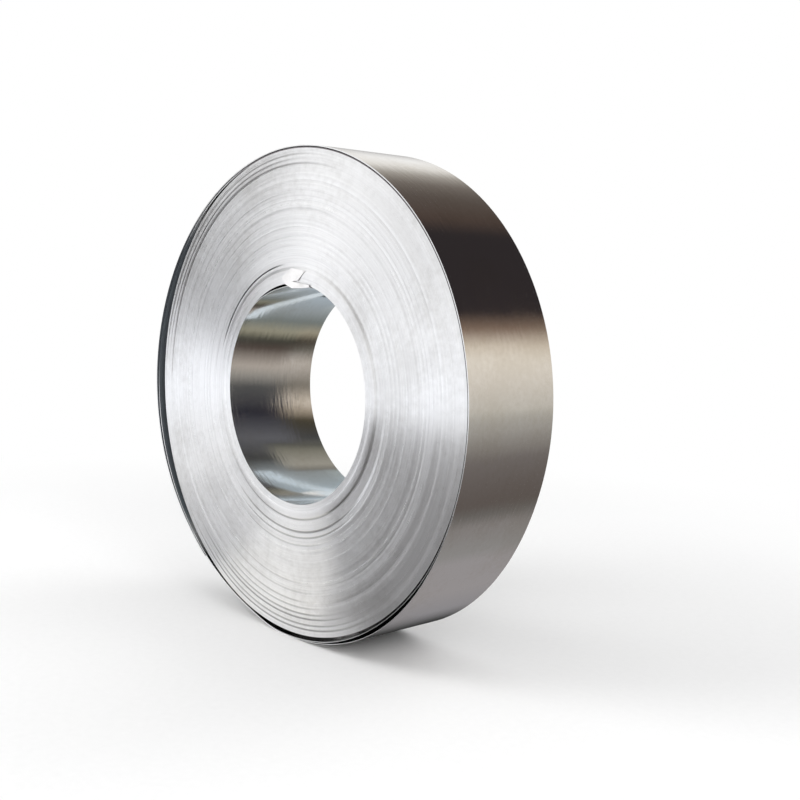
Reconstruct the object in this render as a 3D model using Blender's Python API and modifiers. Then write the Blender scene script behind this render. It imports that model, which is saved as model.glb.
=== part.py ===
"""A slit coil of electro-galvanised steel strip, lying on its round side.

The coil's axis runs along Y and its front end faces -Y. The origin is on the floor, under the
middle of the coil. One strip is wound up from the bore outwards, anticlockwise as seen from the
front, so the coil is one solid: a turned pack whose turns show on both ends as rings that stand
proud or lie back, then the last turn and a half, which has sprung loose and ends in the tail. The
strip's inner end has dropped a little way into the bore, and a patch of tape holds the turns
beside it.

Every shape is drawn with the coil's axis along its own Z, front end up, and is then laid over.
"""

import math

import bmesh
import bpy
from mathutils import Matrix

# Driving dimensions, in metres.
BORE_DIAMETER = 0.508
PACK_DIAMETER = 1.118
STRIP_WIDTH = 0.255
STRIP_THICKNESS = 0.0012

# Rings that the turns make on an end, from the bore out: each ring's outer edge as a share of the
# pack's build-up, and how far it lies back from the foremost ring.
FRONT_RINGS = (
    (0.050, 0.0026), (0.105, 0.0008), (0.190, 0.0034), (0.236, 0.0016), (0.400, 0.0000),
    (0.540, 0.0012), (0.656, 0.0022), (0.760, 0.0010), (0.866, 0.0018), (0.910, 0.0032),
    (0.967, 0.0014), (1.000, 0.0028),
)
BACK_RINGS = (
    (0.060, 0.0014), (0.130, 0.0036), (0.210, 0.0020), (0.330, 0.0008), (0.450, 0.0018),
    (0.580, 0.0000), (0.700, 0.0012), (0.790, 0.0028), (0.880, 0.0010), (0.930, 0.0038),
    (1.000, 0.0022),
)
RING_CHAMFER = 0.0018

# The loose turn and a half outside the pack: a stack of strip with an air gap under it.
LOOSE_STACK = 3 * STRIP_THICKNESS
TURN_GAP = 0.0012
LOOSE_BITE = 0.0010
LOOSE_SET_BACK = 0.0010
LOOSE_START_DEG = 97.5
TAIL_DEG = 592.5
RISE_DEG = 25.0

# Bulges that lift the loose turn off the pack: first, highest and last angle, then the lift.
SIDE_BULGE_DEG = (107.5, 190.0, 250.0)
SIDE_BULGE_LIFT = 0.0240
LOWER_BULGE_DEG = (272.5, 297.5, 345.0)
LOWER_BULGE_LIFT = 0.0050
TAIL_BULGE_DEG = (467.5, 547.5, 592.5)
TAIL_BULGE_LIFT = 0.0060

# Where the loose turn comes down to the floor, beside the facet on which the coil rests.
SAG_DEG = (252.5, 267.5)
SAG_LIFT = 0.0055

# The strip's inner end, dropping off the bore's wall: its root, its lowest place and its tip.
HEAD_DEG = (132.5, 102.5, 77.5)
HEAD_DROP = 0.0055
HEAD_TIP_DROP = 0.0018
HEAD_BITE = 0.0012
HEAD_SET_BACK = 0.0040

# The torn patch of tape across the edges of the inner turns, with a tongue along the strip's inner
# end: its corners, anticlockwise, as shares of its length along the bore's edge and of its depth
# away from it.
TAPE_DEG = 88.0
TAPE_LENGTH = 0.090
TAPE_DEPTH = 0.038
TAPE_CORNERS = (
    (0.49, 0.04), (0.15, 0.00), (-0.22, 0.07), (0.02, 0.14), (0.15, 0.46), (0.27, 0.79),
    (-0.23, 0.87), (-0.45, 0.55), (-0.62, 0.37), (-0.48, -0.08), (-0.22, -0.34), (0.17, -0.28),
    (0.49, -0.10),
)
TAPE_THICKNESS = 0.0008
SEAT_GAP = 0.0003

# Facets round the coil. One facet of the loose turn is level at the bottom, where the coil rests.
# The pack is turned a little against the strip's loose ends, so that their edges never coincide.
SEGMENTS = 72
FACET_DEG = 360.0 / SEGMENTS
PACK_TWIST_DEG = 1.2

BORE_RADIUS = BORE_DIAMETER / 2
PACK_RADIUS = PACK_DIAMETER / 2
HALF_WIDTH = STRIP_WIDTH / 2
STEEL = (0.66, 0.67, 0.68, 1.0)
WHITE_TAPE = (0.90, 0.90, 0.89, 1.0)


def clear_scene():
    """Removes the objects of the scene that the script starts in."""
    for obj in list(bpy.data.objects):
        bpy.data.objects.remove(obj)


def new_collection(name):
    collection = bpy.data.collections.new(name)
    bpy.context.scene.collection.children.link(collection)
    return collection


def surface(name, colour, roughness, metallic):
    material = bpy.data.materials.new(name)
    material.use_nodes = True
    shader = material.node_tree.nodes["Principled BSDF"]
    shader.inputs["Base Color"].default_value = colour
    shader.inputs["Roughness"].default_value = roughness
    shader.inputs["Metallic"].default_value = metallic
    return material


def polar(radius, degrees):
    """The point at this radius and angle, anticlockwise from +X as seen from the front."""
    angle = math.radians(degrees)
    return radius * math.cos(angle), radius * math.sin(angle)


def smooth_rise(share):
    """0 to 1 with level ends, as share goes from 0 to 1."""
    share = min(max(share, 0.0), 1.0)
    return share * share * (3.0 - 2.0 * share)


def bulge(degrees, span):
    """A bulge of height 1 at the middle of three angles and 0 at the first and the last."""
    first, highest, last = span
    up = smooth_rise((degrees - first) / (highest - first))
    return up * smooth_rise((last - degrees) / (last - highest))


def facet_angles(first, last):
    """The angles from first to last at which the coil's facets meet."""
    count = round((last - first) / FACET_DEG)
    return [first + k * FACET_DEG for k in range(count + 1)]


def lift_off(degrees):
    """How far the loose turn bulges off the pack at an angle of its first turn."""
    fall_first, fall_last = LOWER_BULGE_DEG[1:]
    sag = smooth_rise((degrees - SAG_DEG[0]) / (SAG_DEG[1] - SAG_DEG[0]))
    sag *= smooth_rise((fall_last - degrees) / (fall_last - fall_first))
    side = SIDE_BULGE_LIFT * bulge(degrees, SIDE_BULGE_DEG)
    return side + SAG_LIFT * sag + LOWER_BULGE_LIFT * bulge(degrees, LOWER_BULGE_DEG)


def loose_radius(degrees):
    """Inner radius of the loose strip, counted on from its start past one full turn."""
    second_start = LOOSE_START_DEG + 360.0
    first_rise = smooth_rise((degrees - LOOSE_START_DEG) / RISE_DEG)
    second_rise = smooth_rise((degrees - second_start) / RISE_DEG)
    radius = PACK_RADIUS - LOOSE_STACK - LOOSE_BITE
    radius += (LOOSE_STACK + LOOSE_BITE + TURN_GAP) * first_rise
    radius += (LOOSE_STACK + TURN_GAP) * second_rise
    radius += lift_off(degrees if degrees < second_start else degrees - 360.0)
    return radius + TAIL_BULGE_LIFT * bulge(degrees, TAIL_BULGE_DEG)


def head_radius(degrees):
    """Outer radius of the strip's inner end, which is sunk in the bore's wall at its root."""
    root, lowest, tip = HEAD_DEG
    sunk = HEAD_BITE + STRIP_THICKNESS
    drop = (sunk + HEAD_DROP) * smooth_rise((root - degrees) / (root - lowest))
    drop -= (HEAD_DROP - HEAD_TIP_DROP) * smooth_rise((lowest - degrees) / (lowest - tip))
    return BORE_RADIUS + sunk - drop


def outer_points():
    """The outer line of the loose turns, which sets how far the coil reaches every way."""
    angles = facet_angles(LOOSE_START_DEG, TAIL_DEG)
    return [polar(loose_radius(a) + LOOSE_STACK, a) for a in angles]


def lay_down(obj):
    """Lays an upright shape over, so that its axis runs along Y and its front end faces -Y."""
    across = [x for x, _ in outer_points()]
    upward = [y for _, y in outer_points()]
    place = (-(min(across) + max(across)) / 2, 0.0, -min(upward))
    obj.matrix_world = Matrix.Translation(place) @ Matrix.Rotation(math.pi / 2, 4, "X")


def end_profile(rings):
    """(radius, height) points of one end, from the bore out, with a chamfer between rings."""
    half_chamfer = RING_CHAMFER / 2
    inner = BORE_RADIUS
    points = [(inner, HALF_WIDTH - rings[0][1] - half_chamfer)]
    for share, lie_back in rings:
        outer = BORE_RADIUS + share * (PACK_RADIUS - BORE_RADIUS)
        points.append((inner + half_chamfer, HALF_WIDTH - lie_back))
        points.append((outer - half_chamfer, HALF_WIDTH - lie_back))
        inner = outer
    points.append((PACK_RADIUS, HALF_WIDTH - rings[-1][1] - half_chamfer))
    return points


def turned_pack(name, collection):
    """The tightly wound part of the coil, turned from a closed profile."""
    front = end_profile(FRONT_RINGS)
    back = [(radius, -height) for radius, height in end_profile(BACK_RINGS)]
    outline = front[-1:] + back[::-1] + front[:-1]
    start = FACET_DEG / 2 + PACK_TWIST_DEG
    verts = [(*polar(radius, start), height) for radius, height in outline]
    edges = [(i, (i + 1) % len(verts)) for i in range(len(verts))]
    mesh = bpy.data.meshes.new(name)
    mesh.from_pydata(verts, edges, [])
    pack = bpy.data.objects.new(name, mesh)
    collection.objects.link(pack)
    screw = pack.modifiers.new("Turned", "SCREW")
    screw.axis = "Z"
    screw.angle = 2 * math.pi
    screw.steps = SEGMENTS
    screw.render_steps = SEGMENTS
    screw.use_merge_vertices = True
    screw.merge_threshold = 0.0001
    return pack


def extruded(name, outline, low, high, collection):
    """A flat outline, filled and extruded between two heights, as a closed mesh."""
    curve = bpy.data.curves.new(name, "CURVE")
    curve.dimensions = "2D"
    curve.fill_mode = "BOTH"
    curve.extrude = (high - low) / 2
    spline = curve.splines.new("POLY")
    spline.points.add(len(outline) - 1)
    for point, (x, y) in zip(spline.points, outline):
        point.co = (x, y, 0.0, 1.0)
    spline.use_cyclic_u = True
    drawn = bpy.data.objects.new(name + "_outline", curve)
    drawn.location.z = (low + high) / 2
    collection.objects.link(drawn)
    return as_mesh(name, drawn, collection)


def as_mesh(name, drawn, collection):
    """Replaces a drawn object by the mesh that its curve or modifiers make, with no loose caps."""
    bpy.context.view_layer.update()
    graph = bpy.context.evaluated_depsgraph_get()
    mesh = bpy.data.meshes.new_from_object(drawn.evaluated_get(graph))
    mesh.transform(drawn.matrix_world)
    made = bpy.data.objects.new(name, mesh)
    collection.objects.link(made)
    bpy.data.objects.remove(drawn)
    weld(mesh)
    return made


def weld(mesh):
    """Joins the points of a mesh that lie on each other."""
    work = bmesh.new()
    work.from_mesh(mesh)
    bmesh.ops.remove_doubles(work, verts=work.verts, dist=0.00001)
    bmesh.ops.recalc_face_normals(work, faces=work.faces)
    work.to_mesh(mesh)
    work.free()


def strip_outline(angles, inner_radius, thickness):
    """The closed outline of a stretch of strip seen on its edge."""
    outer = [polar(inner_radius(a) + thickness, a) for a in angles]
    inner = [polar(inner_radius(a), a) for a in angles]
    return outer + inner[::-1]


def loose_turns(collection):
    """The last turn and a half of the strip, rising off the pack and ending in the tail."""
    angles = facet_angles(LOOSE_START_DEG, TAIL_DEG)
    outline = strip_outline(angles, loose_radius, LOOSE_STACK)
    edge = HALF_WIDTH - LOOSE_SET_BACK
    return extruded("loose_turns", outline, -edge, edge, collection)


def head_end(collection):
    """The strip's inner end, dropped off the bore's wall."""
    angles = facet_angles(HEAD_DEG[2], HEAD_DEG[0])
    outline = strip_outline(angles, lambda a: head_radius(a) - STRIP_THICKNESS, STRIP_THICKNESS)
    edge = HALF_WIDTH - HEAD_SET_BACK
    return extruded("head_end", outline, -edge, edge, collection)


def join(body, piece):
    """Joins a piece of the same strip to the body."""
    union = body.modifiers.new("Join " + piece.name, "BOOLEAN")
    union.operation = "UNION"
    union.object = piece
    piece.hide_render = True
    piece.display_type = "WIRE"


def wound_strip(shown, helpers):
    """The whole coil: the turned pack, its loose outer turn and its inner end."""
    pack = turned_pack("pack_profile", helpers)
    coil = as_mesh("wound_strip", pack, shown)
    for piece in (loose_turns(helpers), head_end(helpers)):
        join(coil, piece)
        lay_down(piece)
    lay_down(coil)
    coil.data.materials.append(surface("zinc_coated_steel", STEEL, 0.25, 1.0))
    coil.data.shade_smooth()
    coil.data.set_sharp_from_angle(angle=math.radians(20))
    return coil


def tape_outline():
    """The patch of tape across the turns, with its tongue below the bore's edge."""
    foot = BORE_RADIUS + RING_CHAMFER
    corners = []
    for along, away in TAPE_CORNERS:
        turned = math.degrees(along * TAPE_LENGTH / BORE_RADIUS)
        corners.append(polar(foot + away * TAPE_DEPTH, TAPE_DEG - turned))
    return corners


def tape_patch(shown):
    """Tape laid over the front edges of the inner turns, on the foremost ring that it crosses."""
    reach = (RING_CHAMFER + TAPE_DEPTH) / (PACK_RADIUS - BORE_RADIUS)
    inner_edges = [0.0] + [share for share, _ in FRONT_RINGS]
    crossed = [back for edge, (_, back) in zip(inner_edges, FRONT_RINGS) if edge < reach]
    seat = HALF_WIDTH - min(crossed) + SEAT_GAP
    tape = extruded("tape_patch", tape_outline(), seat, seat + TAPE_THICKNESS, shown)
    lay_down(tape)
    tape.data.materials.append(surface("white_tape", WHITE_TAPE, 0.6, 0.0))
    return tape


def build():
    clear_scene()
    shown = new_collection("steel_coil")
    helpers = new_collection("helpers")
    wound_strip(shown, helpers)
    tape_patch(shown)
    bpy.context.view_layer.update()


build()
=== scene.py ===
"""Dresses a slit coil of electro-galvanised steel strip that lies on its round side.

Lengths are in metres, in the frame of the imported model: the coil's axis runs along Y, its front
end faces -Y and the floor is at z = 0. The visible coil is one closed mesh, a single strip wound
from its inner end in the bore to its tail, three turns of strip to a lap of the mesh.
"""

import logging
import math
from dataclasses import dataclass
from enum import Enum

import bpy
import numpy as np
from mathutils import Matrix, Vector


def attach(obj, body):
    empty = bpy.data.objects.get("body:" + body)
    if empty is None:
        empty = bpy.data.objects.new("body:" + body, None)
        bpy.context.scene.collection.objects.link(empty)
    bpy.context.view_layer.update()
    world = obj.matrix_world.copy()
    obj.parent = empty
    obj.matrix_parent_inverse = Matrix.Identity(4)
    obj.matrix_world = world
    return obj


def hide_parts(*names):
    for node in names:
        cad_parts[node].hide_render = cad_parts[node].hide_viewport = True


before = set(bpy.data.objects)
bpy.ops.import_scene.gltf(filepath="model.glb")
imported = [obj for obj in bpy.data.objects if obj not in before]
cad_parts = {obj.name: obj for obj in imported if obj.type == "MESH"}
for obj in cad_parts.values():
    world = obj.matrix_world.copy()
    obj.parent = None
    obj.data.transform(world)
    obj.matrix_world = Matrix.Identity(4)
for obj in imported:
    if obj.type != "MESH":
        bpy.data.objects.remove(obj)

LOG = logging.getLogger("coil")
Colour = tuple[float, float, float]
Span = tuple[float, float]
Place = tuple[float, float, float]
Row = tuple[Place, Place, Colour]
Source = bpy.types.NodeSocket | float | tuple[float, ...]

ROOM_AXIS = (0.0, 0.57)
ROOM_RADIUS = 6.0
BORE_AXIS = (0.017, 0.569)
BORE_BOARD_RADIUS = 0.50
BORE_CARD_RADIUS = 0.495
STREAK_RADIUS = 0.49


class End(Enum):
    """The two ends of the coil, with the sign of the side of Y on which each lies."""

    FRONT = -1
    BACK = 1


class Side(Enum):
    """The two kinds of surface of the strip, with the place of each among its materials."""

    SLIT_EDGE = 0
    ZINC_FACE = 1


class Wiring:
    """Adds nodes to one node tree and links them."""

    def __init__(self, tree: bpy.types.NodeTree) -> None:
        """Keeps the tree that the nodes are added to."""
        self.tree = tree

    def add(self, kind: str, **settings: object) -> bpy.types.Node:
        """Adds a node.

        Args:
            kind: The node's type without its ShaderNode or Node prefix.
            **settings: Properties of the node.

        Returns:
            The new node.
        """
        prefix = "" if kind.startswith("Node") else "ShaderNode"
        node = self.tree.nodes.new(prefix + kind)
        for name, value in settings.items():
            setattr(node, name, value)
        return node

    def feed(self, socket: bpy.types.NodeSocket, source: Source) -> None:
        """Links a socket to another, or sets its value.

        Args:
            socket: The input that is fed.
            source: An output socket, a number, or a vector or colour.
        """
        if isinstance(source, bpy.types.NodeSocket):
            self.tree.links.new(source, socket)
        else:
            socket.default_value = source

    def math(self, operation: str, first: Source, second: Source = 0.0, third: Source = 0.0,
             clamp: bool = False) -> bpy.types.NodeSocket:
        """Adds a Math node.

        Args:
            operation: The node's operation.
            first: Its first input.
            second: Its second input.
            third: Its third input.
            clamp: Whether the result is clamped to 0..1.

        Returns:
            The node's result.
        """
        node = self.add("Math", operation=operation, use_clamp=clamp)
        for socket, source in zip(node.inputs, (first, second, third)):
            self.feed(socket, source)
        return node.outputs[0]

    def vector_math(self, operation: str, first: Source, second: Source) -> bpy.types.NodeSocket:
        """Adds a Vector Math node of two vectors.

        Args:
            operation: The node's operation.
            first: Its first vector.
            second: Its second vector.

        Returns:
            The node's vector.
        """
        node = self.add("VectorMath", operation=operation)
        self.feed(node.inputs[0], first)
        self.feed(node.inputs[1], second)
        return node.outputs[0]

    def length(self, vector: Source) -> bpy.types.NodeSocket:
        """Measures a vector.

        Args:
            vector: The vector.

        Returns:
            Its length.
        """
        node = self.add("VectorMath", operation="LENGTH")
        self.feed(node.inputs[0], vector)
        return node.outputs["Value"]

    def split(self, vector: Source) -> bpy.types.Node:
        """Splits a vector.

        Args:
            vector: The vector.

        Returns:
            The node, with the outputs X, Y and Z.
        """
        node = self.add("SeparateXYZ")
        self.feed(node.inputs[0], vector)
        return node

    def ease(self, value: Source, low: Source, high: Source, to_low: float = 0.0,
             to_high: float = 1.0) -> bpy.types.NodeSocket:
        """Maps a range of values to another with level ends.

        Args:
            value: What is mapped.
            low: The value that gives to_low.
            high: The value that gives to_high.
            to_low: The result at and below low.
            to_high: The result at and above high.

        Returns:
            The mapped value.
        """
        node = self.add("MapRange", interpolation_type="SMOOTHSTEP")
        for socket, source in zip(node.inputs, (value, low, high, to_low, to_high)):
            self.feed(socket, source)
        return node.outputs[0]

    def blend(self, factor: Source, first: Source, second: Source,
              blend_type: str = "MIX") -> bpy.types.NodeSocket:
        """Mixes two colours.

        Args:
            factor: The share of the second colour.
            first: The first colour.
            second: The second colour.
            blend_type: How they mix.

        Returns:
            The mixed colour.
        """
        node = self.add("Mix", data_type="RGBA", blend_type=blend_type, clamp_factor=True)
        colours = [s for s in node.inputs if s.type == "RGBA"]
        self.feed(node.inputs[0], factor)
        self.feed(colours[0], as_rgba(first))
        self.feed(colours[1], as_rgba(second))
        return next(s for s in node.outputs if s.type == "RGBA")

    def noise(self, vector: Source, scale: Source, detail: float = 2.0,
              roughness: float = 0.5) -> bpy.types.NodeSocket:
        """Adds a three-dimensional noise.

        Args:
            vector: Where the noise is read.
            scale: How fine it is.
            detail: How many finer layers it has.
            roughness: How strong the finer layers are.

        Returns:
            The noise, from 0 to 1.
        """
        node = self.add("TexNoise", noise_dimensions="3D")
        self.feed(node.inputs["Vector"], vector)
        self.feed(node.inputs["Scale"], scale)
        node.inputs["Detail"].default_value = detail
        node.inputs["Roughness"].default_value = roughness
        return node.outputs["Fac"]

    def place(self, group: bpy.types.NodeTree, **inputs: Source) -> bpy.types.Node:
        """Places a shader node group.

        Args:
            group: The group.
            **inputs: Its inputs by name, with _ for a space.

        Returns:
            The group's node.
        """
        node = self.add("Group", node_tree=group)
        for name, source in inputs.items():
            self.feed(node.inputs[name.replace("_", " ")], source)
        return node

    def emboss(self, shader: bpy.types.Node, height: Source, strength: float,
               distance: float) -> None:
        """Gives a shader fine relief.

        Args:
            shader: The shader.
            height: The relief, from 0 to 1.
            strength: How strongly it shows.
            distance: How high it stands where it is 1.
        """
        bump = self.add("Bump")
        bump.inputs["Strength"].default_value = strength
        bump.inputs["Distance"].default_value = distance
        self.feed(bump.inputs["Height"], height)
        self.feed(shader.inputs["Normal"], bump.outputs[0])


def as_rgba(colour: Source) -> Source:
    """Gives a plain colour its alpha.

    Args:
        colour: A socket, or three or four numbers.

    Returns:
        The socket, or four numbers.
    """
    if isinstance(colour, tuple) and len(colour) == 3:
        return (*colour, 1.0)
    return colour


class CoilGroups:
    """The shader node groups that more than one of the coil's finishes uses."""

    def __init__(self) -> None:
        """Builds each group once."""
        self.turn_lines = self._turn_lines()
        self.rolling_streaks = self._rolling_streaks()
        self.handling_marks = self._handling_marks()

    @staticmethod
    def _new(name: str, inputs: dict[str, float], outputs: tuple[str, ...]) -> tuple[
            Wiring, bpy.types.Node, bpy.types.Node]:
        """Starts a group that reads a position.

        Args:
            name: The group's name.
            inputs: Its number inputs, with their first values.
            outputs: Its number outputs.

        Returns:
            The group's wiring, its input node and its output node.
        """
        tree = bpy.data.node_groups.new(name, "ShaderNodeTree")
        face = tree.interface
        face.new_socket("Position", in_out="INPUT", socket_type="NodeSocketVector")
        for label, value in inputs.items():
            socket = face.new_socket(label, in_out="INPUT", socket_type="NodeSocketFloat")
            socket.default_value = value
        for label in outputs:
            face.new_socket(label, in_out="OUTPUT", socket_type="NodeSocketFloat")
        wiring = Wiring(tree)
        return wiring, wiring.add("NodeGroupInput"), wiring.add("NodeGroupOutput")

    def _turn_lines(self) -> bpy.types.NodeTree:
        """Fine rings that the strip's edges make round the coil's axis.

        Returns:
            The group, with the outputs Tone, Height, Lie Back and Radius.
        """
        wiring, given, result = self._new(
            "turn_lines", {"Pitch": 0.0012, "Wander": 0.0006, "Half Width": 0.1275},
            ("Tone", "Height", "Lie Back", "Radius"))
        place = wiring.split(given.outputs["Position"])
        flat = wiring.vector_math("MULTIPLY", given.outputs["Position"], (1.0, 0.0, 1.0))
        length = wiring.length(flat)
        drift = wiring.noise(flat, scale=7.0, detail=1.0)
        wander = wiring.math("MULTIPLY", drift, given.outputs["Wander"])
        radius = wiring.math("ADD", length, wander)
        turn = wiring.math("DIVIDE", radius, given.outputs["Pitch"])
        wave = wiring.math("SINE", wiring.math("MULTIPLY", turn, math.tau))
        along = wiring.add("CombineXYZ")
        wiring.feed(along.inputs[0], radius)
        bands = wiring.noise(along.outputs[0], scale=160.0, detail=5.0, roughness=0.7)
        fine = wiring.noise(along.outputs[0], scale=900.0, detail=3.0, roughness=0.6)
        broken = wiring.noise(flat, scale=22.0, detail=3.0, roughness=0.6)
        weight = wiring.ease(broken, 0.35, 0.65, to_low=0.35)
        tone = wiring.math("MULTIPLY_ADD", wiring.math("SUBTRACT", bands, 0.5), weight, 0.5)
        tone = wiring.math("MULTIPLY_ADD", wiring.math("SUBTRACT", fine, 0.5), 0.5, tone, True)
        height = wiring.math("MULTIPLY_ADD", wave, 0.12, bands)
        height = wiring.math("MULTIPLY_ADD", fine, 0.35, height)
        depth = wiring.math("SUBTRACT", given.outputs["Half Width"],
                            wiring.math("ABSOLUTE", place.outputs["Y"]))
        wiring.feed(result.inputs["Tone"], tone)
        wiring.feed(result.inputs["Height"], height)
        wiring.feed(result.inputs["Lie Back"], depth)
        wiring.feed(result.inputs["Radius"], length)
        return wiring.tree

    def _rolling_streaks(self) -> bpy.types.NodeTree:
        """Streaks that run along the strip, round the coil's axis.

        Returns:
            The group, with the outputs Tone and Height.
        """
        wiring, given, result = self._new(
            "rolling_streaks", {"Fineness": 260.0, "Stretch": 0.012}, ("Tone", "Height"))
        squeeze = wiring.add("CombineXYZ")
        wiring.feed(squeeze.inputs[0], given.outputs["Stretch"])
        squeeze.inputs[1].default_value = 1.0
        wiring.feed(squeeze.inputs[2], given.outputs["Stretch"])
        place = wiring.vector_math("MULTIPLY", given.outputs["Position"], squeeze.outputs[0])
        streaks = wiring.noise(place, given.outputs["Fineness"], detail=4.0, roughness=0.6)
        broad = wiring.noise(place, wiring.math("MULTIPLY", given.outputs["Fineness"], 0.15))
        tone = wiring.math("MULTIPLY_ADD", streaks, 0.6, wiring.math("MULTIPLY", broad, 0.4))
        short = wiring.vector_math("MULTIPLY", given.outputs["Position"], (0.16, 1.0, 0.16))
        half = wiring.math("MULTIPLY", given.outputs["Fineness"], 0.5)
        ripples = wiring.noise(short, half, detail=3.0)
        wiring.feed(result.inputs["Tone"], tone)
        wiring.feed(result.inputs["Height"], wiring.math("MULTIPLY_ADD", streaks, 0.15, ripples))
        return wiring.tree

    def _handling_marks(self) -> bpy.types.NodeTree:
        """Smudges and dull patches from handling and packing.

        Returns:
            The group, with the output Mask.
        """
        wiring, given, result = self._new(
            "handling_marks", {"Size": 5.0, "Amount": 0.5}, ("Mask",))
        cloud = wiring.noise(given.outputs["Position"], given.outputs["Size"], detail=5.0,
                             roughness=0.55)
        fleck = wiring.noise(given.outputs["Position"],
                             wiring.math("MULTIPLY", given.outputs["Size"], 14.0), detail=3.0,
                             roughness=0.6)
        both = wiring.math("MULTIPLY_ADD", fleck, 0.3, wiring.math("MULTIPLY", cloud, 0.7))
        mask = wiring.ease(both, 0.42, 0.66)
        wiring.feed(result.inputs["Mask"], wiring.math("MULTIPLY", mask, given.outputs["Amount"]))
        return wiring.tree


def new_material(name: str) -> tuple[bpy.types.Material, Wiring, bpy.types.Node]:
    """Starts a material with one Principled BSDF.

    Args:
        name: The material's name.

    Returns:
        The material, its wiring and its shader.
    """
    material = bpy.data.materials.new(name)
    material.use_nodes = True
    return material, Wiring(material.node_tree), material.node_tree.nodes["Principled BSDF"]


@dataclass(frozen=True)
class StripEdgeFinish:
    """The strip's slit edges: fine bright rings, with duller, darker painted shade where turns lie
    back.

    Painted shade fills the shallow grooves, a painted line of shade follows the last tight turn,
    and painted shade lies on the loose turn's edge at the upper left. Places are measured from
    the coil's axis.
    """

    bright: Colour = (0.92, 0.92, 0.925)
    dull: Colour = (0.74, 0.74, 0.75)
    bright_tones: Span = (0.30, 0.62)
    handled: Colour = (0.66, 0.65, 0.63)
    # recess_shade is painted shade: a dark colour laid where the edge lies back from the coil's end
    recess_shade: Colour = (0.17, 0.17, 0.18)
    recess_shade_depths: Span = (0.0040, 0.0065)
    # groove_shade_colour is painted shade laid in the shallow grooves, where their shadow falls
    groove_shade_colour: Colour = (0.20, 0.19, 0.19)
    # seam_shade is a painted shadow: a dark line where the loose turn parts from the last tight turn
    seam_shade: Colour = (0.20, 0.18, 0.19)
    seam_shade_radius: float = 0.5572
    seam_shade_reach: Span = (0.0015, 0.0006)
    # gap_shade is painted shade on the loose turn's edge beside the wide gap at the upper left
    gap_shade: Colour = (0.050, 0.058, 0.066)
    gap_shade_radii: Span = (0.5610, 0.5625)
    gap_shade_across: Span = (-0.34, -0.50)
    gap_shade_heights: Span = (-0.16, 0.06)
    roughness: float = 0.39
    polish: float = -0.12
    anisotropy: float = 0.90
    grain_turn: float = 0.25

    def make(self, groups: CoilGroups) -> bpy.types.Material:
        """Builds the material.

        Args:
            groups: The shared node groups.

        Returns:
            The material.
        """
        material, wiring, shader = new_material("slit_edges")
        position = wiring.add("TexCoord").outputs["Object"]
        lines = wiring.place(groups.turn_lines, Position=position)
        marks = wiring.place(groups.handling_marks, Position=position, Size=4.0, Amount=0.5)
        tone = wiring.ease(lines.outputs["Tone"], *self.bright_tones)
        colour = wiring.blend(tone, self.dull, self.bright)
        colour = wiring.blend(marks.outputs["Mask"], colour, self.handled, "MULTIPLY")
        # painted shade where the edge lies back, rising from 4 mm deep to full at 6.5 mm
        recess_shade = wiring.ease(lines.outputs["Lie Back"], *self.recess_shade_depths)
        colour = wiring.blend(recess_shade, colour, self.recess_shade)
        # painted shade in the shallow grooves
        colour = wiring.blend(self._groove_shade(wiring, lines), colour, self.groove_shade_colour)
        # painted shadow line beside the last tight turn
        colour = wiring.blend(self._seam_shade(wiring, lines), colour, self.seam_shade)
        # painted shade on the loose turn's edge
        colour = wiring.blend(self._gap_shade(wiring, lines, position), colour, self.gap_shade)
        wiring.feed(shader.inputs["Base Color"], colour)
        rough = wiring.math("MULTIPLY_ADD", tone, self.polish, self.roughness)
        wiring.feed(shader.inputs["Roughness"], rough)
        shader.inputs["Metallic"].default_value = 1.0
        shader.inputs["Anisotropic"].default_value = self.anisotropy
        shader.inputs["Anisotropic Rotation"].default_value = self.grain_turn
        tangent = wiring.add("Tangent", direction_type="RADIAL", axis="Y")
        wiring.feed(shader.inputs["Tangent"], tangent.outputs[0])
        wiring.emboss(shader, lines.outputs["Height"], strength=0.5, distance=0.0006)
        return material

    @staticmethod
    def _groove_shade(wiring: Wiring, lines: bpy.types.Node) -> bpy.types.NodeSocket:
        """Where painted shade lies in the shallow grooves, broken up along the turns.

        Args:
            wiring: The material's wiring.
            lines: The turn_lines group.

        Returns:
            The mask.
        """
        groove_shade = wiring.add("Attribute", attribute_name="groove_shade")
        broken = wiring.ease(lines.outputs["Tone"], 0.25, 0.65, to_low=0.55)
        return wiring.math("MULTIPLY", groove_shade.outputs["Fac"], broken)

    def _seam_shade(self, wiring: Wiring, lines: bpy.types.Node) -> bpy.types.NodeSocket:
        """Masks the painted line of shade that runs beside the last tight turn."""
        past = wiring.math("SUBTRACT", lines.outputs["Radius"], self.seam_shade_radius)
        return wiring.ease(wiring.math("ABSOLUTE", past), *self.seam_shade_reach)

    def _gap_shade(self, wiring: Wiring, lines: bpy.types.Node,
             position: bpy.types.NodeSocket) -> bpy.types.NodeSocket:
        """Where painted shade lies on the loose turn's edge.

        Args:
            wiring: The material's wiring.
            lines: The turn_lines group.
            position: The place on the coil.

        Returns:
            The mask.
        """
        place = wiring.split(position)
        mask = wiring.ease(lines.outputs["Radius"], *self.gap_shade_radii)
        mask = wiring.math("MULTIPLY", mask, wiring.ease(place.outputs["X"], *self.gap_shade_across))
        return wiring.math("MULTIPLY", mask, wiring.ease(place.outputs["Z"], *self.gap_shade_heights))


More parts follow.
